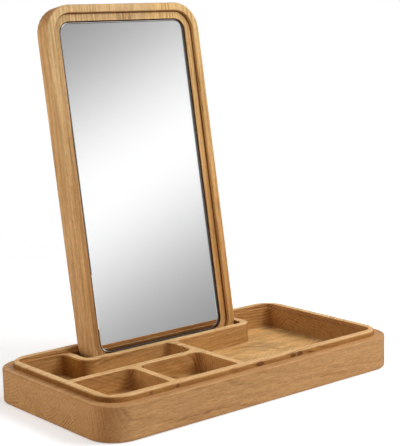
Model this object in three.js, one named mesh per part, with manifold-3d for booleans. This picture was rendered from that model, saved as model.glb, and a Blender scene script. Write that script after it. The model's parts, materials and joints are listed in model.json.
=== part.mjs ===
// An oak mirror box for a desk: a low tray with four compartments, and a framed mirror that stands in a
// slot along the tray's back and leans against the tray's back lip. Laid face down on the tray, the
// mirror board is its lid, so both have the same outline.
//
// Millimetres, +Z up. The origin is the centre of the tray's underside, +X runs to the right along the
// tray and +Y points to the back. The mirror board is drawn lying on its back, its foot along X, and
// is then turned upright.

import * as THREE from 'three';
import { mergeVertices } from 'three/addons/utils/BufferGeometryUtils.js';
import Module from 'manifold-3d';

const wasm = await Module();
wasm.setup();

// ---------------------------------------------------------------- driving dimensions

// Outline shared by the tray and the mirror board
const boxLength = 330;
const boxWidth = 173;
const boxCornerRadius = 26;
const edgeRound = 1.5;

// Tray: body, shoulder and raised lip
const bodyHeight = 30;
const lipHeight = 5;
const shoulderWidth = 8;
const lipWidth = 8;
const lipOuterRadius = 22;
const lipInnerRadius = 9;
const lipRound = 1.8;

// Compartments, milled from the top
const floorThickness = 11;
const floorFillet = 2;
const dividerDrop = 4;
const dividerWidth = 7.5;
const dividerRound = 0.9;
const millRadius = 8;
const longDividerY = -3.85;
const shortDividerX = -79.5;
const crossDividerX = -5;

// Slot for the mirror board's foot
const slotWallWidth = 7.5;
const slotWallOuterRadius = 12.5;
const slotMillRadius = 6;
const slotBackRadius = 3.5;
const slotFloorThickness = 9.5;
const slotSideSlack = 9.5;
const slotFrontSlack = 6.2;
const slotFloorFillet = 1;
const footStopHeight = 8;

// Mirror board
const boardThickness = 18;
const boardLean = 9.3;
const boardSideGap = 1;
const boardX = 1.3;
const proudBandWidth = 7.5;
const recessDepth = 3.5;
const recessRound = 0.8;
const wellMargin = 14.7;

// Mirror glass, held in the board by strips of mounting tape
const glassThickness = 3;
const glassSink = 0.4;
const glassGap = 1.2;
const glassBevel = 0.8;
const tapeThickness = 1;
const tapeWidth = 20;
const tapeCount = 4;
const tapeEndMargin = 22;

// Edge-glued staves: the tray's lie side by side along Y, the board's along X
const trayStaves = 4;
const boardStaves = 3;

// Clearance between pieces that meet on a slanted or rounded face
const seatGap = 0.3;

// Facets of a round corner and of a rounded edge
const cornerSteps = 8;
const edgeSteps = 3;

// How far a cutter reaches past the face that it opens
const overrun = 5;

// ---------------------------------------------------------------- derived places

const lipTop = bodyHeight + lipHeight;
const dividerTop = lipTop - dividerDrop;
const insideX = boxLength / 2 - shoulderWidth - lipWidth;
const insideY = boxWidth / 2 - shoulderWidth - lipWidth;
const halfDivider = dividerWidth / 2;

// The standing board: its foot rests on the rounded lower back edge, its heel, and its back leans
// on the lip's rounded inner edge. Its place follows from the centres of those two rounds.
const lean = THREE.MathUtils.degToRad(boardLean);
const up = new THREE.Vector3(0, Math.sin(lean), Math.cos(lean));
const back = new THREE.Vector3(0, Math.cos(lean), -Math.sin(lean));
const lipRoundY = insideY + lipRound;
const lipRoundZ = lipTop - lipRound;
const backDistance = lipRoundY * back.y + lipRoundZ * back.z - lipRound - seatGap;
const heelZ = slotFloorThickness + seatGap + edgeRound;
const heelY = (backDistance - edgeRound - heelZ * back.z) / back.y;
const boardPlace = new THREE.Vector3(boardX, heelY, heelZ)
  .addScaledVector(up, -edgeRound)
  .addScaledVector(back, edgeRound - boardThickness);
const footFrontY = boardPlace.y + edgeRound * (up.y + back.y) - edgeRound;

// The slot's inner sides: the board stands near its right end, with the slack on the left
const slotRight = boardX + boxWidth / 2 + boardSideGap;
const slotLeft = boardX - boxWidth / 2 + boardSideGap - slotSideSlack;
const slotFront = footFrontY - slotFrontSlack;
const slotWallFront = slotFront - slotWallWidth;

// The mirror board's recess and the well for its glass keep the outline's corner centres
const recessRadius = boxCornerRadius - proudBandWidth;
const wellRadius = boxCornerRadius - wellMargin;
const wellDepth = glassSink + glassThickness + tapeThickness + 2 * seatGap;
const wellFloor = -recessDepth - wellDepth;

// ---------------------------------------------------------------- outlines and solids

// A closed outline with right-angled, rounded corners, given anticlockwise as [x, y, radius].
// grow moves every side outwards: a convex corner's radius grows with it, a hollow one's shrinks.
function outline(corners, grow) {
  const points = [];
  corners.forEach(([x, y, radius], index) => {
    const [beforeX, beforeY] = corners[(index + corners.length - 1) % corners.length];
    const [afterX, afterY] = corners[(index + 1) % corners.length];
    const arriving = new THREE.Vector2(x - beforeX, y - beforeY).normalize();
    const leaving = new THREE.Vector2(afterX - x, afterY - y).normalize();
    const turn = Math.sign(arriving.cross(leaving));
    const r = radius + turn * grow;
    const cornerX = x + grow * (arriving.y + leaving.y);
    const cornerY = y - grow * (arriving.x + leaving.x);
    const centre = new THREE.Vector2(cornerX, cornerY)
      .addScaledVector(arriving, -r)
      .addScaledVector(leaving, r);
    for (let step = 0; step <= cornerSteps; step += 1) {
      const angle = (Math.PI / 2) * (step / cornerSteps);
      points.push(centre.clone()
        .addScaledVector(leaving, -r * Math.cos(angle))
        .addScaledVector(arriving, r * Math.sin(angle)));
    }
  });
  return points;
}

// The four corners of a rectangle with one radius, anticlockwise
function rectangle(x0, x1, y0, y1, radius) {
  return [[x0, y0, radius], [x1, y0, radius], [x1, y1, radius], [x0, y1, radius]];
}

// The solid between a stack of outlines: each level is [grow, z], from the bottom up
function stack(corners, levels) {
  const rings = levels.map(([grow, z]) => outline(corners, grow).map((p) => [p.x, p.y, z]));
  const size = rings[0].length;
  const triangles = [];
  const cap = THREE.ShapeUtils.triangulateShape(outline(corners, levels[0][0]), []);
  const last = (rings.length - 1) * size;
  cap.forEach(([a, b, c]) => {
    triangles.push(c, b, a);
    triangles.push(last + a, last + b, last + c);
  });
  for (let ring = 0; ring < rings.length - 1; ring += 1) {
    for (let i = 0; i < size; i += 1) {
      const here = ring * size + i;
      const next = ring * size + ((i + 1) % size);
      triangles.push(here, next, next + size);
      triangles.push(here, next + size, here + size);
    }
  }
  return solid(rings.flat(2), triangles);
}

// A manifold solid from plain coordinates and triangles
function solid(coordinates, triangles) {
  const geometry = new THREE.BufferGeometry();
  geometry.setAttribute('position', new THREE.Float32BufferAttribute(coordinates, 3));
  geometry.setIndex(triangles);
  return fromGeometry(geometry);
}

// A manifold solid from a three.js geometry
function fromGeometry(geometry) {
  const bare = geometry.clone();
  bare.deleteAttribute('normal');
  bare.deleteAttribute('uv');
  const merged = mergeVertices(bare, 1e-4);
  return new wasm.Manifold(new wasm.Mesh({
    numProp: 3,
    vertProperties: new Float32Array(merged.attributes.position.array),
    triVerts: new Uint32Array(merged.index.array),
  }));
}

// A three.js geometry from a manifold solid
function toGeometry(manifold) {
  const mesh = manifold.getMesh();
  const geometry = new THREE.BufferGeometry();
  geometry.setAttribute('position', new THREE.BufferAttribute(mesh.vertProperties, 3));
  geometry.setIndex(new THREE.BufferAttribute(mesh.triVerts, 1));
  geometry.computeVertexNormals();
  return geometry;
}

// Levels of a rounded edge: at the bottom or the top of a block, and where a cutter leaves a face
function bottomRound(z, radius) {
  return arcLevels((sin, cos) => [radius * (sin - 1), z + radius * (1 - cos)]);
}

function topRound(z, radius) {
  return arcLevels((sin, cos) => [radius * (cos - 1), z + radius * (sin - 1)]);
}

function mouthRound(z, radius) {
  return arcLevels((sin, cos) => [radius * (1 - cos), z + radius * (sin - 1)]);
}

function arcLevels(level) {
  const levels = [];
  for (let step = 0; step <= edgeSteps; step += 1) {
    const angle = (Math.PI / 2) * (step / edgeSteps);
    levels.push(level(Math.sin(angle), Math.cos(angle)));
  }
  return levels;
}

// A milled hollow: filleted floor, straight walls, and a rounded mouth at the face that it opens
function hollow(corners, floor, fillet, mouth, mouthRadius) {
  return stack(corners, [
    ...bottomRound(floor, fillet),
    ...mouthRound(mouth, mouthRadius),
    [mouthRadius, mouth + overrun],
  ]);
}

// Cuts a solid into equal staves across an axis
function staves(block, count, axis, from, width) {
  const reach = 4 * boxLength;
  const pitch = width / count;
  return Array.from({ length: count }, (_, index) => {
    const size = [reach, reach, reach];
    const centre = [0, 0, 0];
    const start = index === 0 ? from - overrun : from + index * pitch;
    const end = index === count - 1 ? from + width + overrun : from + (index + 1) * pitch;
    size[axis] = end - start;
    centre[axis] = (start + end) / 2;
    const slab = new THREE.BoxGeometry(...size).translate(...centre);
    return block.intersect(fromGeometry(slab));
  });
}

// ---------------------------------------------------------------- tray

// The four compartments, as corner lists
function compartments() {
  const backOfLong = longDividerY + halfDivider;
  const frontOfLong = longDividerY - halfDivider;
  const leftOfCross = crossDividerX - halfDivider;
  const rightOfCross = crossDividerX + halfDivider;
  const slotWallLeft = slotLeft - slotWallWidth;
  const slotWallRight = slotRight + slotWallWidth;
  const backLeft = [
    [-insideX, backOfLong, millRadius],
    [leftOfCross, backOfLong, millRadius],
    [leftOfCross, slotWallFront, millRadius],
    [slotWallLeft, slotWallFront, slotWallOuterRadius],
    [slotWallLeft, insideY, millRadius],
    [-insideX, insideY, lipInnerRadius],
  ];
  const frontLeft = [
    [-insideX, -insideY, lipInnerRadius],
    [shortDividerX - halfDivider, -insideY, millRadius],
    [shortDividerX - halfDivider, frontOfLong, millRadius],
    [-insideX, frontOfLong, millRadius],
  ];
  const frontMiddle = rectangle(
    shortDividerX + halfDivider, leftOfCross, -insideY, frontOfLong, millRadius);
  const right = [
    [rightOfCross, -insideY, millRadius],
    [insideX, -insideY, lipInnerRadius],
    [insideX, insideY, lipInnerRadius],
    [slotWallRight, insideY, millRadius],
    [slotWallRight, slotWallFront, slotWallOuterRadius],
    [rightOfCross, slotWallFront, millRadius],
  ];
  return [backLeft, frontLeft, frontMiddle, right];
}

// The slot: a shallow front step that stops the board's foot, and a deeper groove behind it
function slotCutters() {
  const stopTop = slotFloorThickness + footStopHeight;
  const step = [
    [slotLeft, slotFront, slotMillRadius],
    [slotRight, slotFront, slotMillRadius],
    [slotRight, insideY, slotBackRadius],
    [slotLeft, insideY, slotBackRadius],
  ];
  const groove = rectangle(slotLeft, slotRight, footFrontY - seatGap, insideY, slotFloorFillet);
  return [
    hollow(step, stopTop, slotFloorFillet, dividerTop, dividerRound),
    stack(groove, [
      [0, slotFloorThickness],
      [0, stopTop + overrun],
    ]),
  ];
}

function tray() {
  const body = stack(
    rectangle(-boxLength / 2, boxLength / 2, -boxWidth / 2, boxWidth / 2, boxCornerRadius),
    [...bottomRound(0, edgeRound), ...topRound(bodyHeight, edgeRound)]);
  const lipX = boxLength / 2 - shoulderWidth;
  const lipY = boxWidth / 2 - shoulderWidth;
  const lip = stack(
    rectangle(-lipX, lipX, -lipY, lipY, lipOuterRadius),
    [[0, floorThickness], ...topRound(lipTop, lipRound)]);
  const inside = stack(
    rectangle(-insideX, insideX, -insideY, insideY, lipInnerRadius),
    [[0, dividerTop], ...mouthRound(lipTop, lipRound), [lipRound, lipTop + overrun]]);
  let block = body.add(lip).subtract(inside);
  compartments().forEach((corners) => {
    block = block.subtract(hollow(corners, floorThickness, floorFillet, dividerTop, dividerRound));
  });
  slotCutters().forEach((cutter) => {
    block = block.subtract(cutter);
  });
  return block;
}

// ---------------------------------------------------------------- mirror board

// Lying on its back: X across, Y from the foot to the top, front face at z = 0
function insetRectangle(margin, radius) {
  return rectangle(
    -boxWidth / 2 + margin, boxWidth / 2 - margin, margin, boxLength - margin, radius);
}

function mirrorBoard() {
  const block = stack(insetRectangle(0, boxCornerRadius), [
    ...bottomRound(-boardThickness, edgeRound),
    ...topRound(0, edgeRound),
  ]);
  const recess = stack(insetRectangle(proudBandWidth, recessRadius), [
    [0, -recessDepth],
    ...mouthRound(0, recessRound),
    [recessRound, overrun],
  ]);
  const well = stack(insetRectangle(wellMargin, wellRadius), [
    [0, wellFloor],
    [0, overrun],
  ]);
  return block.subtract(recess).subtract(well);
}

function mirrorGlass() {
  const front = -recessDepth - glassSink;
  return stack(insetRectangle(wellMargin + glassGap, wellRadius - glassGap), [
    [0, front - glassThickness],
    [0, front - glassBevel],
    [-glassBevel, front],
  ]);
}

// Strips of tape across the back of the glass, evenly spaced along it
function tapeStrip(index) {
  const inset = wellMargin + glassGap + tapeWidth / 2;
  const length = boxWidth - 2 * inset;
  const first = wellMargin + tapeEndMargin;
  const spacing = (boxLength - 2 * first) / (tapeCount - 1);
  const y = first + index * spacing;
  const z = wellFloor + seatGap + tapeThickness / 2;
  return fromGeometry(new THREE.BoxGeometry(length, tapeWidth, tapeThickness).translate(0, y, z));
}

// ---------------------------------------------------------------- assembly

const model = new THREE.Group();
const board = new THREE.Group();
board.rotation.x = Math.PI / 2 - lean;
board.position.copy(boardPlace);
model.add(board);

function material(color, roughness, metalness = 0) {
  return new THREE.MeshStandardMaterial({ color, roughness, metalness });
}

function add(parent, name, manifold, finish) {
  const mesh = new THREE.Mesh(toGeometry(manifold), finish);
  mesh.name = name;
  parent.add(mesh);
}

const oakTones = [0xc69a69, 0xbf9160, 0xcba06f, 0xc2955f];

staves(tray(), trayStaves, 1, -boxWidth / 2, boxWidth).forEach((stave, index) => {
  add(model, `tray_stave_${index + 1}`, stave, material(oakTones[index % oakTones.length], 0.6));
});

staves(mirrorBoard(), boardStaves, 0, -boxWidth / 2, boxWidth).forEach((stave, index) => {
  add(board, `board_stave_${index + 1}`, stave, material(oakTones[index % oakTones.length], 0.6));
});

add(board, 'mirror_glass', mirrorGlass(), material(0xd5d8da, 0.05, 1));

for (let index = 0; index < tapeCount; index += 1) {
  add(board, `tape_strip_${index + 1}`, tapeStrip(index), material(0xe8e6df, 0.8));
}

export default model;
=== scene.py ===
"""An oak mirror box for a desk: a low tray with compartments and a framed mirror standing in its slot.

Metres, +Z up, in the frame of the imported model. The staves keep their solids and get an oak that is
a solid pattern: growth rings, vessels, rays and fibres in each stave's own wood space, so that end
grain, side grain and the milled hollows agree with each other. The pane is made here as a bevelled
slab of glass over a silver layer.
"""

import json
import math

import bmesh
import bpy
from mathutils import Matrix, Vector


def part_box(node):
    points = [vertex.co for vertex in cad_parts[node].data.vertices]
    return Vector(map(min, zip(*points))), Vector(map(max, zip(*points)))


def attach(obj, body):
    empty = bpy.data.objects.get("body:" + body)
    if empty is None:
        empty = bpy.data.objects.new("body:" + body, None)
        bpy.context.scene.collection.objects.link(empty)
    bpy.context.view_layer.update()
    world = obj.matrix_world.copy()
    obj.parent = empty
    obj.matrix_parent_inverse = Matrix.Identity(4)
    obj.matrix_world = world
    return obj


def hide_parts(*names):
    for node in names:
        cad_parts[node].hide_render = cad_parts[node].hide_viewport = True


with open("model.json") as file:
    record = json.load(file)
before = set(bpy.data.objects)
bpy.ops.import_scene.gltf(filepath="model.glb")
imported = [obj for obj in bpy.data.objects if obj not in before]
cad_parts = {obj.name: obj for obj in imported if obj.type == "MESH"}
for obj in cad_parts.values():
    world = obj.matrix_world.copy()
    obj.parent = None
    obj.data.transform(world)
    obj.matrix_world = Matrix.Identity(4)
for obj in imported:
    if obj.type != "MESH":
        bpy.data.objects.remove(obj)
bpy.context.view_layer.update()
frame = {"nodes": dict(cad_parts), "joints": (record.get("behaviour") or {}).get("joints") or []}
nodes = frame["nodes"]
MM = 0.001

# ---------------------------------------------------------------- directions taken from the model

LIFT = Vector(frame["joints"][0]["axis"])
ACROSS = Vector((1, 0, 0))
BOARD_BACK = ACROSS.cross(LIFT) * -1

# ---------------------------------------------------------------- node helpers


class Tree:
    """A node tree, with short calls for the nodes used here."""

    def __init__(self, tree):
        self.tree = tree
        self.tree.nodes.clear()

    def node(self, kind, inputs=None, **settings):
        made = self.tree.nodes.new(kind)
        for name, value in settings.items():
            setattr(made, name, value)
        for key, value in (inputs or {}).items():
            self.put(made.inputs[key], value)
        return made

    def put(self, socket, value):
        if isinstance(value, bpy.types.NodeSocket):
            self.tree.links.new(value, socket)
        else:
            socket.default_value = value

    def math(self, operation, *values):
        return self.node("ShaderNodeMath", dict(enumerate(values)), operation=operation).outputs[0]

    def add(self, a, b):
        return self.math("ADD", a, b)

    def times(self, a, b):
        return self.math("MULTIPLY", a, b)

    def all(self, *shares):
        """The product of all shares: 1 where each of them is 1."""
        product = shares[0]
        for share in shares[1:]:
            product = self.times(product, share)
        return product

    def off(self, value, middle):
        """How far the value is from the middle, either way."""
        return self.math("ABSOLUTE", self.math("SUBTRACT", value, middle))

    def between(self, share, low, high):
        """low where share is 0, high where it is 1."""
        return self.math("MULTIPLY_ADD", share, high - low, low)

    def dot(self, a, b):
        return self.node("ShaderNodeVectorMath", {0: a, 1: b}, operation="DOT_PRODUCT").outputs["Value"]

    def length(self, a):
        return self.node("ShaderNodeVectorMath", {0: a}, operation="LENGTH").outputs["Value"]

    def vector(self, operation, a, b):
        return self.node("ShaderNodeVectorMath", {0: a, 1: b}, operation=operation).outputs[0]

    def combine(self, x, y, z):
        return self.node("ShaderNodeCombineXYZ", {0: x, 1: y, 2: z}).outputs[0]

    def noise(self, vector, seed, scale=1.0, detail=2.0, roughness=0.5):
        return self.node("ShaderNodeTexNoise", {
            "Vector": vector, "W": seed, "Scale": scale, "Detail": detail, "Roughness": roughness,
        }, noise_dimensions="4D").outputs["Fac"]

    def ramp(self, value, low, high, low_out=0.0, high_out=1.0):
        """low_out up to low, high_out from high on, and a smooth change between them."""
        return self.node("ShaderNodeMapRange", {
            "Value": value, "From Min": low, "From Max": high, "To Min": low_out, "To Max": high_out,
        }, interpolation_type="SMOOTHSTEP").outputs[0]

    def fall(self, value, low, high):
        """1 up to low, 0 from high on."""
        return self.ramp(value, low, high, 1.0, 0.0)

    def mix(self, share, a, b, blend="MIX"):
        made = self.node("ShaderNodeMix", {"Factor": share}, data_type="RGBA", blend_type=blend)
        self.put(made.inputs[6], a)
        self.put(made.inputs[7], b)
        return made.outputs[2]


def new_material(name):
    material = bpy.data.materials.new(name)
    material.use_nodes = True
    return material, Tree(material.node_tree)


def rgb(red, green, blue):
    """A colour given as it shows on screen, 0 to 255, as linear values."""
    return tuple(((c / 255 + 0.055) / 1.055) ** 2.4 for c in (red, green, blue)) + (1.0,)


# ---------------------------------------------------------------- oak

# The wood's own colours, and how much of each shows where it is strongest
LATE_WOOD = rgb(214, 164, 106)
EARLY_WOOD = rgb(178, 122, 66)
PORE = rgb(98, 58, 24)
RAY = rgb(226, 184, 130)
MARK = rgb(104, 56, 26)
EARLY_SHARE = 0.75
RAY_SHARE = 0.30
PORE_SHARE = 0.6
WORN_SHARE = 0.12

# How far the pith swings across and through a stave, and how far a growth ring strays from round,
# in millimetres
PITH_SWING = (9, 8)
RING_PINCH = 1.3

# Layers of light and dark along the grain: the length and width of their marks in millimetres, the
# detail and roughness of their noise, how far they reach either side of 1, and their seed
FIBRE = dict(size=(14, 0.6), detail=3, roughness=0.65, reach=0.34, seed=11.0)
FLECK = dict(size=(5, 0.9), detail=2, roughness=0.6, reach=0.28, seed=12.0)
STREAK = dict(size=(60, 2.6), detail=2, roughness=0.55, reach=0.32, seed=13.0)
CLOUD = dict(size=(60, 16), detail=2, roughness=0.5, reach=0.08, seed=17.0)

# Cells of the wood's vessels, along and across the grain, and of its rays, along the grain, outwards
# and round the pith, in millimetres
WIDE_VESSEL = (15, 0.85)
FINE_VESSEL = (5.5, 0.6)
FINE_VESSEL_SHARE = 0.5
RAY_SIZE = (6, 14, 0.9)

# How much faster green and blue follow the light and dark than red does
GREEN_POWER = 1.2
BLUE_POWER = 1.6

# Factors on the wood's colour, red, green and blue
END_TINT = (0.80, 0.73, 0.65, 1)
# Oblique grain on the rounded corners, darker and more saturated: partly the wood's own, partly painted
# shade on the corners
OBLIQUE_GRAIN_AND_SHADE_TINT = (0.78, 0.70, 0.63, 1)
# Painted shade in the hollows within the lip: their walls and floors darker and yellower
HOLLOW_SHADE_TINT = (0.90, 0.92, 0.87, 1)
# Painted light on the hollows' upward-facing floors: paler and greyer than their shaded walls
FLOOR_LIGHT_TINT = (1.09, 1.14, 1.18, 1)
# Painted shade in the slot that the board stands in: nearly black-brown
SLOT_SHADE_TINT = (0.34, 0.26, 0.16, 1)
# Painted light and sheen on the tray's upward-facing tops above the shoulder: paler and greyer
TOP_LIGHT_TINT = (1.20, 1.37, 1.60, 1)
SHOULDER_TINT = (0.84, 0.83, 0.90, 1)
# Painted shade on the lip's outer wall, which rises from the shoulder
LIP_WALL_SHADE_TINT = (0.80, 0.74, 0.55, 1)
# Painted shade on end grain that faces left at the tray's left end, on the lip's wall and in the hollows
LEFT_END_SHADE_TINT = (0.62, 0.51, 0.29, 1)
# Painted shade on the narrow step at the foot of the lip's inner wall
UNDER_LIP_SHADE_TINT = (0.80, 0.72, 0.62, 1)
# Painted light and sheen on the board's face, growing towards the top: paler and greyer
FACE_SHEEN_TINT = (1.16, 1.40, 1.72, 1)
# Painted shadow on the left part of the ledge in the board's recess
LEDGE_SHADOW_TINT = (0.76, 0.72, 0.68, 1)
# Painted shade along the inner corner of the board's recess
CORNER_SHADE_TINT = (0.42, 0.34, 0.26, 1)
# Painted shade in the well round the glass
WELL_SHADE_TINT = (0.30, 0.24, 0.18, 1)

UP = Vector((0, 0, 1))
TRAY_AXES = (ACROSS, Vector((0, 1, 0)), UP)
BOARD_AXES = (LIFT, ACROSS, BOARD_BACK)

# Places in the tray, in millimetres: half sizes of the space inside the lip, a height below the
# floors of the hollows, the shoulder's height, the foot and top of the wall that rises from it, and
# the sides of the slot
INSIDE = (149, 70.5)
BELOW_FLOORS = 3
SHOULDER = 30
REBATE = (30.8, 33.6)
SLOT_LEFT = -93.7
SLOT_RIGHT = 88.8
SLOT_FRONT = 42.6

# Burnt spots on the lip's front wall: how far to the right, how wide, and how dark; where that wall
# is, and how far the spots reach out from it and up and down
BURNS = ((-116, 1.6, 0.5), (-89, 1.8, 0.6), (1, 5.5, 0.8), (40, 3.2, 0.8), (48.5, 3.6, 0.8))
FRONT_LIP = -78.5
BURN_OUT = 3
BURN_UP = 1.9

# The recess milled into the board's face: its band's width, its corner radius and its depth, the
# width of the ledge that it leaves round the glass's well, and how deep that well is
BAND = 7.5
RECESS_RADIUS = 18.5
RECESS_DEPTH = 3.5
LEDGE = 7.2
WELL_DEPTH = 6


def stave(axes, pith, drift=(0.0, 0.0), ring=3.0, rings=1.0, streaks=1.0, tint=(1, 1, 1), seed=0.0):
    """What sets one stave's wood apart. axes run along, across and through it, pith is the centre of
    its growth rings across and through it at its middle, in millimetres, drift how far that centre
    shifts for each millimetre along the stave, and ring the width of one year. rings and streaks say
    how strong the rings and streaks are, and tint is a factor on the stave's colour."""
    return dict(
        axes=axes, pith=pith, drift=drift, ring=ring, rings=rings, streaks=streaks, tint=tint, seed=seed)


STAVES = {
    "tray_stave_1": stave(
        TRAY_AXES, (48, -30), (0.0, -0.15), ring=2.7, rings=0.5, streaks=0.5,
        tint=(0.95, 0.91, 0.87), seed=1.7),
    "tray_stave_2": stave(TRAY_AXES, (25, 5), (0.0, -0.43), ring=2.7, rings=1.2, seed=5.1),
    "tray_stave_3": stave(TRAY_AXES, (-12, 110), (0.1, 0.18), ring=3.0, rings=0.9, seed=9.4),
    "tray_stave_4": stave(TRAY_AXES, (98, 92), (0.0, -0.1), ring=2.9, rings=1.3, seed=13.8),
    "board_stave_1": stave(
        BOARD_AXES, (-150, 78), (0.03, 0.0), ring=3.2, rings=1.1, streaks=1.4, seed=21.3),
    "board_stave_2": stave(BOARD_AXES, (5, 150), (0.0, 0.06), ring=3.3, rings=0.6, seed=27.9),
    "board_stave_3": stave(
        BOARD_AXES, (130, 110), (0.02, 0.0), ring=3.0, rings=0.9, streaks=1.4,
        tint=(1.06, 1.03, 0.92), seed=33.2),
}


def board_extent(axis):
    """The board's lowest and highest place along an axis, in millimetres."""
    staves = [name for name in STAVES if name.startswith("board")]
    places = [v.co.dot(axis) / MM for name in staves for v in nodes[name].data.vertices]
    return min(places), max(places)


class Oak:
    """Builds the node tree of one stave's oak."""

    def __init__(self, t, how):
        self.t = t
        self.how = how
        self.seed = how["seed"]
        coordinates = t.node("ShaderNodeTexCoord")
        self.place = coordinates.outputs["Object"]
        self.normal = coordinates.outputs["Normal"]
        self.u, self.v, self.w = (t.dot(self.place, axis / MM) for axis in how["axes"])

    def stretched(self, along, across):
        """The place in the wood, with one unit this many millimetres along and across the grain."""
        t = self.t
        return t.combine(
            t.math("DIVIDE", self.u, along),
            t.math("DIVIDE", self.v, across),
            t.math("DIVIDE", self.w, across))

    def from_pith(self, place, middle, drift, swing, seed):
        """Distance from the pith along one axis. The pith runs askew and swings from side to side."""
        t = self.t
        askew = t.math("MULTIPLY_ADD", self.u, -drift, -middle)
        swinging = t.between(t.noise(self.stretched(130, 55), seed), -swing, swing)
        return t.add(t.add(place, askew), swinging)

    def growth(self):
        """Sets the distance from the pith, the angle about it, and how strong the early wood is."""
        t, how = self.t, self.how
        v = self.from_pith(self.v, how["pith"][0], how["drift"][0], PITH_SWING[0], self.seed)
        w = self.from_pith(self.w, how["pith"][1], how["drift"][1], PITH_SWING[1], self.seed + 7.3)
        pinch = t.noise(self.stretched(38, 8), self.seed + 2.0, detail=3)
        pinch = t.between(pinch, -RING_PINCH, RING_PINCH)
        self.radius = t.add(t.length(t.combine(v, w, 0.0)), pinch)
        self.angle = t.math("ARCTAN2", v, w)
        years = t.math("DIVIDE", self.radius, how["ring"])
        season = t.math("FRACT", years)
        spring = t.times(t.ramp(season, 0.0, 0.10), t.fall(season, 0.25, 0.75))
        year = t.combine(t.math("FLOOR", years), 0.5, 0.5)
        vigour = t.ramp(t.noise(year, self.seed + 3.0, scale=0.77, detail=0), 0.3, 0.7, 0.35, 1.0)
        patchy = t.ramp(t.noise(self.stretched(45, 12), self.seed + 4.0), 0.35, 0.65, 0.4, 1.0)
        self.early = t.all(spring, vigour, patchy)

    def tubes(self, along, across, width):
        """Thin tubes along the grain, one in each cell of the given size, cut open by the surface."""
        t = self.t
        gap = t.node("ShaderNodeTexVoronoi", {
            "Vector": self.stretched(along, across), "Scale": 1.0, "Randomness": 1.0,
        }, feature="F1").outputs["Distance"]
        return t.ramp(t.math("SUBTRACT", width, gap), 0.0, 0.14)

    def vessels(self):
        """Wide vessels in the early wood, and finer ones everywhere."""
        t = self.t
        wide = t.times(self.tubes(*WIDE_VESSEL, t.between(self.early, 0.15, 0.50)), self.early)
        fine = t.times(self.tubes(*FINE_VESSEL, 0.30), FINE_VESSEL_SHARE)
        return t.math("MAXIMUM", wide, fine)

    def rays(self):
        """Thin sheets that run outwards from the pith and a little way along the grain."""
        t = self.t
        around = t.times(self.angle, self.radius)
        places = zip((self.u, self.radius, around), RAY_SIZE)
        sheet = t.combine(*(t.math("DIVIDE", place, size) for place, size in places))
        return t.ramp(t.noise(sheet, self.seed + 5.0, detail=1), 0.60, 0.74)

    def layer(self, layer, strength=1.0):
        """One layer of light and dark, as a factor near 1."""
        noise = self.t.noise(
            self.stretched(*layer["size"]), self.seed + layer["seed"],
            detail=layer["detail"], roughness=layer["roughness"])
        reach = layer["reach"] * strength
        return self.t.between(noise, 1 - reach, 1 + reach)

    def shade(self):
        """Sets the fibres, and gives them with flecks, streaks and clouds as one factor near 1."""
        t = self.t
        self.fibre = self.layer(FIBRE)
        return t.all(
            self.fibre, self.layer(FLECK), self.layer(STREAK, self.how["streaks"]), self.layer(CLOUD))

    def facing(self, axis):
        """1 where the surface faces along the axis, either way, and 0 where it runs beside it."""
        return self.t.math("ABSOLUTE", self.t.dot(self.normal, axis))

    def both_ways(self, share):
        """1 where share is one half, falling to 0 where it is 0 or 1."""
        t = self.t
        return t.all(share, t.math("SUBTRACT", 1.0, share), 4.0)

    def beyond_inside(self):
        """Distance outside the space within the lip, in millimetres, below 0 inside it."""
        t = self.t
        return t.math(
            "MAXIMUM",
            t.math("SUBTRACT", t.math("ABSOLUTE", self.u), INSIDE[0]),
            t.math("SUBTRACT", t.math("ABSOLUTE", self.v), INSIDE[1]))

    def in_hollow(self, beyond):
        """1 within the lip, between the hollows' floors and their rims."""
        t = self.t
        return t.all(
            t.fall(beyond, 0.1, 0.5),
            t.ramp(self.w, BELOW_FLOORS, BELOW_FLOORS + 3),
            t.fall(self.w, SHOULDER - 1, SHOULDER))

    def in_slot(self):
        """1 in the slot that the board stands in, fading out towards its mouth, where shade is painted."""
        t = self.t
        return t.all(
            t.ramp(self.u, SLOT_LEFT - 0.6, SLOT_LEFT - 0.1),
            t.fall(self.u, SLOT_RIGHT + 0.1, SLOT_RIGHT + 0.6),
            t.ramp(self.v, SLOT_FRONT - 0.6, SLOT_FRONT - 0.1),
            t.fall(self.w, SHOULDER - 6, SHOULDER))

    def under_lip(self, beyond):
        """1 on the narrow step that the hollows' mouths leave at the foot of the lip's inner wall, where
        shade is painted.
        """
        t = self.t
        return t.all(
            t.ramp(beyond, -0.3, 0.1),
            t.fall(beyond, 1.1, 1.5),
            t.ramp(self.w, SHOULDER - 0.6, SHOULDER),
            t.fall(self.w, SHOULDER + 1.2, SHOULDER + 1.8))

    def on_lip_wall(self):
        """1 on the lip's outer wall, which rises from the shoulder."""
        t = self.t
        return t.all(
            t.ramp(t.dot(self.place, self.normal), 0.03, 0.05),
            t.fall(self.facing(UP), 0.2, 0.6),
            t.ramp(self.w, REBATE[0] - 0.8, REBATE[0]))

    def at_left_end(self):
        """1 on end grain that faces left, from the slot's left wall to the tray's left end."""
        t = self.t
        return t.times(
            t.ramp(t.dot(self.normal, -ACROSS), 0.5, 0.9), t.fall(self.u, SLOT_LEFT - 4, SLOT_LEFT))

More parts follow.
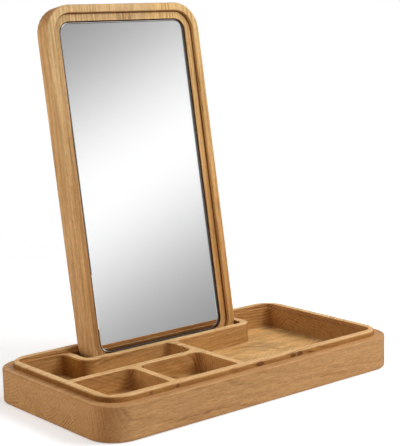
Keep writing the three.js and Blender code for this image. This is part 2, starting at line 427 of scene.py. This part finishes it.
    def milled(self, colour):
        """The tray's own surfaces: light and sheen painted on the upward-facing tops, shade painted in the
        hollows and light painted on their blotched floors, shade painted in the slot, under the lip and on
        the wall round the lip, and shade painted on the end grain that faces left at the left end."""
        t = self.t
        flat = t.ramp(self.facing(UP), 0.6, 0.95)
        beyond = self.beyond_inside()
        hollow = self.in_hollow(beyond)
        floor = t.times(hollow, flat)
        lip = self.on_lip_wall()
        blotch = t.noise(self.stretched(42, 13), self.seed + 31.0, detail=3)
        blotch = t.ramp(blotch, 0.3, 0.7, 0.80, 1.20)
        for share, tint in (
            (t.times(flat, t.ramp(self.w, SHOULDER + 0.4, SHOULDER + 0.9)), TOP_LIGHT_TINT),
            (hollow, HOLLOW_SHADE_TINT),
            (floor, FLOOR_LIGHT_TINT),
            (floor, t.combine(blotch, blotch, blotch)),
            (self.under_lip(beyond), UNDER_LIP_SHADE_TINT),
            (t.times(flat, t.fall(t.off(self.w, SHOULDER), 0.2, 0.7)), SHOULDER_TINT),
            (t.times(hollow, self.in_slot()), SLOT_SHADE_TINT),
            (t.times(self.at_left_end(), t.math("MAXIMUM", lip, hollow)), LEFT_END_SHADE_TINT),
            (lip, LIP_WALL_SHADE_TINT),
        ):
            colour = t.mix(share, colour, tint, "MULTIPLY")
        return colour

    def beyond_recess(self):
        """Distance outside the outline of the board's recess, in millimetres, below 0 inside it."""
        t = self.t
        past = []
        for place, axis in ((self.u, LIFT), (self.v, ACROSS)):
            low, high = board_extent(axis)
            off = t.off(place, (low + high) / 2)
            past.append(t.math("SUBTRACT", off, (high - low) / 2 - BAND - RECESS_RADIUS))
        corner = t.length(t.combine(*(t.math("MAXIMUM", side, 0.0) for side in past), 0.0))
        inside = t.math("MINIMUM", t.math("MAXIMUM", *past), 0.0)
        return t.math("SUBTRACT", t.add(corner, inside), RECESS_RADIUS)

    def framed(self, colour):
        """The board's own surfaces: light and sheen painted on the face, growing towards the top, and shade
        painted in the corner of the recess, on its ledge on the left and in the well round the glass."""
        t = self.t
        foot, top = board_extent(LIFT)
        depth = t.math("SUBTRACT", self.w, board_extent(BOARD_BACK)[0])
        beyond = self.beyond_recess()
        front = t.ramp(t.dot(self.normal, -BOARD_BACK), -0.1, 0.7)
        high_up = t.ramp(self.u, foot + (top - foot) / 4, top + 40)
        recessed = t.ramp(depth, RECESS_DEPTH - 1.2, RECESS_DEPTH - 0.4)
        corner = t.all(
            t.fall(t.math("ABSOLUTE", t.add(beyond, 0.4)), 0.5, 1.1),
            recessed,
            t.fall(depth, RECESS_DEPTH + 0.6, RECESS_DEPTH + 1.2))
        well = t.all(
            t.fall(beyond, -LEDGE + 0.5, -LEDGE + 1),
            t.ramp(depth, RECESS_DEPTH + 0.2, RECESS_DEPTH + 0.8),
            t.fall(depth, RECESS_DEPTH + WELL_DEPTH, RECESS_DEPTH + WELL_DEPTH + 1))
        for share, tint in (
            (t.times(high_up, front), FACE_SHEEN_TINT),
            (t.all(recessed, front, t.fall(self.v, -80, -60)), LEDGE_SHADOW_TINT),
            (corner, CORNER_SHADE_TINT),
            (well, WELL_SHADE_TINT),
        ):
            colour = t.mix(share, colour, tint, "MULTIPLY")
        return colour

    def burns(self, colour):
        """Small ragged scorch marks on the lip's front wall."""
        t = self.t
        ragged = t.between(t.noise(self.place, self.seed, scale=500), -0.45, 0.45)
        for x, width, dark in BURNS:
            off = t.vector("SUBTRACT", self.place, Vector((x, FRONT_LIP, sum(REBATE) / 2)) * MM)
            reach = Vector((width, BURN_OUT, BURN_UP)) * MM
            away = t.add(t.length(t.vector("DIVIDE", off, reach)), ragged)
            colour = t.mix(t.ramp(away, 0.6, 1.3, dark, 0.0), colour, MARK)
        return colour

    def colour(self, pore, ray, end, edge):
        """The wood's colour before the tray's and the board's own surfaces are told apart."""
        t, how = self.t, self.how
        colour = t.mix(t.times(self.early, EARLY_SHARE * how["rings"]), LATE_WOOD, EARLY_WOOD)
        colour = t.mix(t.times(ray, RAY_SHARE), colour, RAY)
        colour = t.mix(t.times(pore, PORE_SHARE), colour, PORE)
        level = self.shade()
        shade = t.combine(level, t.math("POWER", level, GREEN_POWER), t.math("POWER", level, BLUE_POWER))
        # Oblique grain, partly the wood's own and partly painted shade on the rounded corners
        oblique = self.both_ways(t.math("POWER", self.facing(how["axes"][0]), 2))
        for share, tint in (
            (1.0, shade),
            (1.0, how["tint"] + (1,)),
            (end, END_TINT),
            (oblique, OBLIQUE_GRAIN_AND_SHADE_TINT),
        ):
            colour = t.mix(share, colour, tint, "MULTIPLY")
        return t.mix(t.times(edge, WORN_SHARE), colour, RAY)

    def build(self, in_tray):
        """Makes the whole tree: colour, roughness and bump."""
        t = self.t
        self.growth()
        pore = self.vessels()
        end = t.ramp(self.facing(self.how["axes"][0]), 0.45, 0.95)
        edge = self.both_ways(t.math("POWER", self.facing(self.how["axes"][2]), 2))
        colour = self.colour(pore, self.rays(), end, edge)
        colour = self.burns(self.milled(colour)) if in_tray else self.framed(colour)
        height = t.add(t.times(pore, -0.10), t.add(t.times(self.early, -0.03), t.times(self.fibre, 0.04)))
        bump = t.node("ShaderNodeBump", {"Strength": 0.5, "Distance": MM, "Height": height})
        rough = t.add(t.add(t.times(pore, 0.15), t.times(end, 0.08)), t.between(edge, 0.50, 0.44))
        shader = t.node("ShaderNodeBsdfPrincipled", {
            "Base Color": colour, "Roughness": rough, "Normal": bump.outputs[0], "Specular IOR Level": 0.35,
        })
        t.node("ShaderNodeOutputMaterial", {"Surface": shader.outputs[0]})


for name, how in STAVES.items():
    material, tree = new_material("oak_" + name)
    Oak(tree, how).build(name.startswith("tray"))
    nodes[name].data.materials.clear()
    nodes[name].data.materials.append(material)

# ---------------------------------------------------------------- smooth rounds on the milled solids

SMOOTH_ANGLE = math.radians(33)
WELD = 0.005 * MM


def rounding_group():
    """Geometry nodes that join the facets of a solid and shade its rounds smooth, with sharp arrises."""
    group = bpy.data.node_groups.new("smooth_rounds", "GeometryNodeTree")
    group.interface.new_socket("Geometry", in_out="INPUT", socket_type="NodeSocketGeometry")
    group.interface.new_socket("Geometry", in_out="OUTPUT", socket_type="NodeSocketGeometry")
    t = Tree(group)
    mesh = t.node("NodeGroupInput").outputs[0]
    plain = t.node("GeometryNodeRemoveAttribute", {"Geometry": mesh, "Name": "custom_normal"})
    welded = t.node("GeometryNodeMergeByDistance", {"Geometry": plain.outputs[0], "Distance": WELD})
    smooth = t.node("GeometryNodeSetShadeSmooth", {
        "Geometry": welded.outputs[0], "Shade Smooth": True,
    }, domain="FACE")
    angle = t.node("GeometryNodeInputMeshEdgeAngle").outputs["Unsigned Angle"]
    arris = t.node("FunctionNodeCompare", {"A": angle, "B": SMOOTH_ANGLE}, operation="GREATER_THAN")
    sharp = t.node("GeometryNodeSetShadeSmooth", {
        "Geometry": smooth.outputs[0], "Selection": arris.outputs[0], "Shade Smooth": False,
    }, domain="EDGE")
    t.node("NodeGroupOutput", {0: sharp.outputs[0]})
    return group


def smooth_rounds(piece, group):
    piece.modifiers.new("smooth_rounds", "NODES").node_group = group
    level = piece.modifiers.new("flat_faces", "WEIGHTED_NORMAL")
    level.keep_sharp = True
    level.weight = 100


rounding = rounding_group()
for piece in nodes.values():
    smooth_rounds(piece, rounding)

# ---------------------------------------------------------------- the pane

# The glass slab's corner radius, front bevel and back arris, the silver's thickness, its distance
# from the glass, and how far it stops short of the glass's edge
CORNER_STEPS = 14
PANE_RADIUS = 10.1 * MM
PANE_BEVEL = 0.45 * MM
PANE_ARRIS = 0.15 * MM
SILVER = 0.15 * MM
SILVER_GAP = 0.02 * MM
SILVER_MARGIN = 0.9 * MM


def corner_loop(half_x, half_y, radius):
    """Corner points of a rounded rectangle about the origin, anticlockwise from the right."""
    points = []
    for sign_x, sign_y, start in ((1, 1, 0), (-1, 1, 1), (-1, -1, 2), (1, -1, 3)):
        for step in range(CORNER_STEPS + 1):
            angle = math.pi / 2 * (start + step / CORNER_STEPS)
            points.append((
                sign_x * (half_x - radius) + radius * math.cos(angle),
                sign_y * (half_y - radius) + radius * math.sin(angle)))
    return points


def loft(name, loops, place):
    """A closed solid through loops of equal count, each a list of points and a height, with caps."""
    mesh = bmesh.new()
    rings = [
        [mesh.verts.new(place @ Vector((x, y, height))) for x, y in points]
        for points, height in loops]
    for low, high in zip(rings, rings[1:]):
        for i in range(len(low)):
            j = (i + 1) % len(low)
            mesh.faces.new((low[i], low[j], high[j], high[i]))
    mesh.faces.new(list(reversed(rings[0])))
    mesh.faces.new(rings[-1])
    data = bpy.data.meshes.new(name)
    mesh.to_mesh(data)
    mesh.free()
    piece = bpy.data.objects.new(name, data)
    bpy.context.scene.collection.objects.link(piece)
    return piece


def board_space(node):
    """The place of a flat node of the leaning board, with its half width, half height and thickness.
    The place is the middle of its back, with its front towards +Z."""
    corners = [v.co for v in nodes[node].data.vertices]
    along = [c.dot(LIFT) for c in corners]
    deep = [c.dot(BOARD_BACK) for c in corners]
    low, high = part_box(node)
    centre = ACROSS * (low.x + high.x) / 2 + LIFT * (max(along) + min(along)) / 2
    centre += BOARD_BACK * max(deep)
    turn = Matrix((ACROSS, LIFT, -BOARD_BACK)).transposed().to_4x4()
    half_x = (high.x - low.x) / 2
    half_y = (max(along) - min(along)) / 2
    return Matrix.Translation(centre) @ turn, half_x, half_y, max(deep) - min(deep)


def glass_material():
    material, t = new_material("mirror_glass")
    place = t.node("ShaderNodeTexCoord").outputs["Object"]
    smear = t.noise(place, 2.0, scale=9.0, detail=3)
    glass = t.node("ShaderNodeBsdfPrincipled", {
        "Base Color": (0.975, 0.985, 0.98, 1), "Roughness": t.ramp(smear, 0.35, 0.8, 0.0, 0.012),
        "IOR": 1.52, "Transmission Weight": 1.0,
    })
    t.node("ShaderNodeOutputMaterial", {"Surface": glass.outputs[0]})
    return material


def silver_material():
    material, t = new_material("mirror_silver")
    place = t.node("ShaderNodeTexCoord").outputs["Object"]
    tone = t.mix(t.noise(place, 1.0, scale=14.0), rgb(250, 249, 250), rgb(253, 251, 252))
    silver = t.node("ShaderNodeBsdfPrincipled", {"Base Color": tone, "Roughness": 0.0, "Metallic": 1.0})
    t.node("ShaderNodeOutputMaterial", {"Surface": silver.outputs[0]})
    return material


def add_pane():
    place, half_x, half_y, thick = board_space("mirror_glass")

    def loop(inset, height):
        return corner_loop(half_x - inset, half_y - inset, PANE_RADIUS - inset), height

    glass = loft("mirror_pane", [
        loop(PANE_ARRIS, SILVER),
        loop(0, SILVER + PANE_ARRIS),
        loop(0, thick - PANE_BEVEL),
        loop(PANE_BEVEL, thick),
    ], place)
    glass.data.materials.append(glass_material())
    silver = loft("mirror_silver", [
        loop(SILVER_MARGIN + PANE_ARRIS, 0),
        loop(SILVER_MARGIN, SILVER - SILVER_GAP),
    ], place)
    silver.data.materials.append(silver_material())
    for piece in (glass, silver):
        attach(piece, "mirror")
        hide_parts("mirror_glass")


add_pane()

# ---------------------------------------------------------------- tape


def tape_material():
    material, t = new_material("tape_paper")
    place = t.node("ShaderNodeTexCoord").outputs["Object"]
    crepe = t.noise(t.vector("MULTIPLY", place, Vector((1500, 300, 300))), 4.0, detail=3)
    blotch = t.noise(place, 8.0, scale=60)
    colour = t.mix(crepe, rgb(236, 232, 218), rgb(214, 208, 190))
    colour = t.mix(t.times(blotch, 0.3), colour, rgb(196, 190, 172))
    bump = t.node("ShaderNodeBump", {"Strength": 0.5, "Distance": 0.2 * MM, "Height": crepe})
    paper = t.node("ShaderNodeBsdfPrincipled", {
        "Base Color": colour, "Roughness": t.between(crepe, 0.7, 0.9), "Normal": bump.outputs[0],
    })
    t.node("ShaderNodeOutputMaterial", {"Surface": paper.outputs[0]})
    return material


paper = tape_material()
for name, piece in nodes.items():
    if name.startswith("tape_strip"):
        piece.data.materials.clear()
        piece.data.materials.append(paper)

# ---------------------------------------------------------------- camera

# The photograph's frame in pixels, and the camera that was fitted to it
PHOTO_WIDTH = 400
PHOTO_HEIGHT = 446
CAMERA_AZIMUTH = math.radians(-39.01)
CAMERA_ELEVATION = math.radians(9.75)
CAMERA_ROLL = math.radians(-1.35)
CAMERA_TARGET = Vector((-12.85, 0, 147.04)) * MM
CAMERA_DISTANCE = 1091.54 * MM
FOCAL_PIXELS = 1243.88
PRINCIPAL_POINT = (186.03, 222.32)
SENSOR = 36.0


def add_camera():
    data = bpy.data.cameras.new("camera")
    data.sensor_width = SENSOR
    data.lens = FOCAL_PIXELS * SENSOR / PHOTO_HEIGHT
    data.shift_x = (PHOTO_WIDTH / 2 - PRINCIPAL_POINT[0]) / PHOTO_HEIGHT
    data.shift_y = (PRINCIPAL_POINT[1] - PHOTO_HEIGHT / 2) / PHOTO_HEIGHT
    data.clip_start = 0.01
    camera = bpy.data.objects.new("camera", data)
    bpy.context.scene.collection.objects.link(camera)
    flat = math.cos(CAMERA_ELEVATION)
    away = Vector((
        math.sin(CAMERA_AZIMUTH) * flat, -math.cos(CAMERA_AZIMUTH) * flat, math.sin(CAMERA_ELEVATION)))
    roll = Matrix.Rotation(CAMERA_ROLL, 3, "Z").to_quaternion()
    camera.rotation_mode = "QUATERNION"
    camera.rotation_quaternion = away.to_track_quat("Z", "Y") @ roll
    camera.location = CAMERA_TARGET + away * CAMERA_DISTANCE
    bpy.context.scene.camera = camera


# ---------------------------------------------------------------- lamps, sky and floor

# The light from all round, and the floor: its colour, how much paler it looks to the camera and in
# the mirror, the distances from the middle at which it starts to turn white and is white, its half
# width, and how far it lies under the tray
AMBIENT = 0.13
FLOOR_COLOUR = (0.82, 0.82, 0.82, 1)
FLOOR_LIFT = 0.42
FLOOR_FADE = (0.35, 0.8)
FLOOR_HALF = 6.0
FLOOR_DROP = 0.2 * MM

# The mirror sees a studio sky: a white band, tilted, that fades to grey above and below it, and on
# the left a pale wall
BAND_AXIS = Vector((-0.345, -0.102, 0.933)).normalized()
BAND_SHARPNESS = 11.2
BAND_GREY = 0.27
BAND_GLOW = 0.82
LEFT_GLOW = 0.85

# Each softbox's place, its width and height, and its power. All of them face the tray's middle.
SOFTBOXES = {
    "top": ((0.0, -0.1, 1.5), (1.3, 1.0), 5),
    "top_right": ((0.9, 0.0, 1.4), (0.8, 0.8), 7),
    "front_right": ((0.5, -0.55, 0.75), (0.5, 0.5), 5.4),
    "left": ((-1.4, -0.1, 0.5), (0.8, 0.6), 3.4),
    "left_back": ((-1.2, 0.7, 0.5), (0.8, 0.6), 5.5),
}


def add_softbox(name, place, size, power):
    data = bpy.data.lights.new(name, "AREA")
    data.shape = "RECTANGLE"
    data.size, data.size_y = size
    data.energy = power
    lamp = bpy.data.objects.new(name, data)
    bpy.context.scene.collection.objects.link(lamp)
    lamp.location = place
    lamp.rotation_mode = "QUATERNION"
    lamp.rotation_quaternion = Vector(place).to_track_quat("Z", "Y")
    lamp.visible_glossy = False
    lamp.visible_transmission = False


def add_world():
    """White to the camera, the studio sky to glass and gloss, and an even faint light to the rest."""
    world = bpy.data.worlds.new("studio")
    bpy.context.scene.world = world
    world.use_nodes = True
    t = Tree(world.node_tree)
    direction = t.node("ShaderNodeTexCoord").outputs["Generated"]
    off = t.times(t.dot(direction, BAND_AXIS), BAND_SHARPNESS)
    glow = t.math("POWER", math.e, t.times(t.times(off, off), -1.0))
    path = t.node("ShaderNodeLightPath")
    leftward = t.ramp(t.dot(direction, ACROSS), -0.3, 0.1, LEFT_GLOW, 0.0)
    in_glass = t.times(leftward, path.outputs["Is Transmission Ray"])
    sky = t.math("MAXIMUM", in_glass, t.math("MULTIPLY_ADD", glow, BAND_GLOW, BAND_GREY))
    reflected = t.math("MAXIMUM", path.outputs["Is Glossy Ray"], path.outputs["Is Transmission Ray"])
    soft = t.node("ShaderNodeBackground", {"Color": (1, 1, 1, 1), "Strength": AMBIENT})
    shiny = t.node("ShaderNodeBackground", {"Color": (1, 1, 1, 1), "Strength": sky})
    white = t.node("ShaderNodeBackground", {"Color": (1, 1, 1, 1), "Strength": 1.0})
    lit = t.node("ShaderNodeMixShader", {0: reflected, 1: soft.outputs[0], 2: shiny.outputs[0]})
    seen = t.node("ShaderNodeMixShader", {
        0: path.outputs["Is Camera Ray"], 1: lit.outputs[0], 2: white.outputs[0]})
    t.node("ShaderNodeOutputWorld", {"Surface": seen.outputs[0]})


def floor_material():
    """Pale, and lifted for the camera and the mirror alone, so that it lights nothing by itself."""
    material, t = new_material("floor")
    diffuse = t.node("ShaderNodeBsdfDiffuse", {"Color": FLOOR_COLOUR})
    path = t.node("ShaderNodeLightPath")
    looked_at = t.math("MAXIMUM", path.outputs["Is Camera Ray"], path.outputs["Is Transmission Ray"])
    strength = t.times(looked_at, FLOOR_LIFT)
    lift = t.node("ShaderNodeEmission", {"Color": (1, 1, 1, 1), "Strength": strength})
    near = t.node("ShaderNodeAddShader", {0: diffuse.outputs[0], 1: lift.outputs[0]})
    white = t.node("ShaderNodeEmission", {"Color": (1, 1, 1, 1), "Strength": 1.0})
    away = t.length(t.node("ShaderNodeTexCoord").outputs["Object"])
    far = t.times(t.ramp(away, *FLOOR_FADE), looked_at)
    seen = t.node("ShaderNodeMixShader", {0: far, 1: near.outputs[0], 2: white.outputs[0]})
    t.node("ShaderNodeOutputMaterial", {"Surface": seen.outputs[0]})
    return material


def add_floor():
    mesh = bpy.data.meshes.new("floor")
    half = FLOOR_HALF
    corners = [(-half, -half, 0), (half, -half, 0), (half, half, 0), (-half, half, 0)]
    mesh.from_pydata(corners, [], [(0, 1, 2, 3)])
    mesh.materials.append(floor_material())
    floor = bpy.data.objects.new("floor", mesh)
    bpy.context.scene.collection.objects.link(floor)
    floor.location.z = -FLOOR_DROP


add_camera()
add_world()
add_floor()
for name, (place, size, power) in SOFTBOXES.items():
    add_softbox(name, place, size, power)
bpy.context.scene.view_settings.view_transform = "Standard"
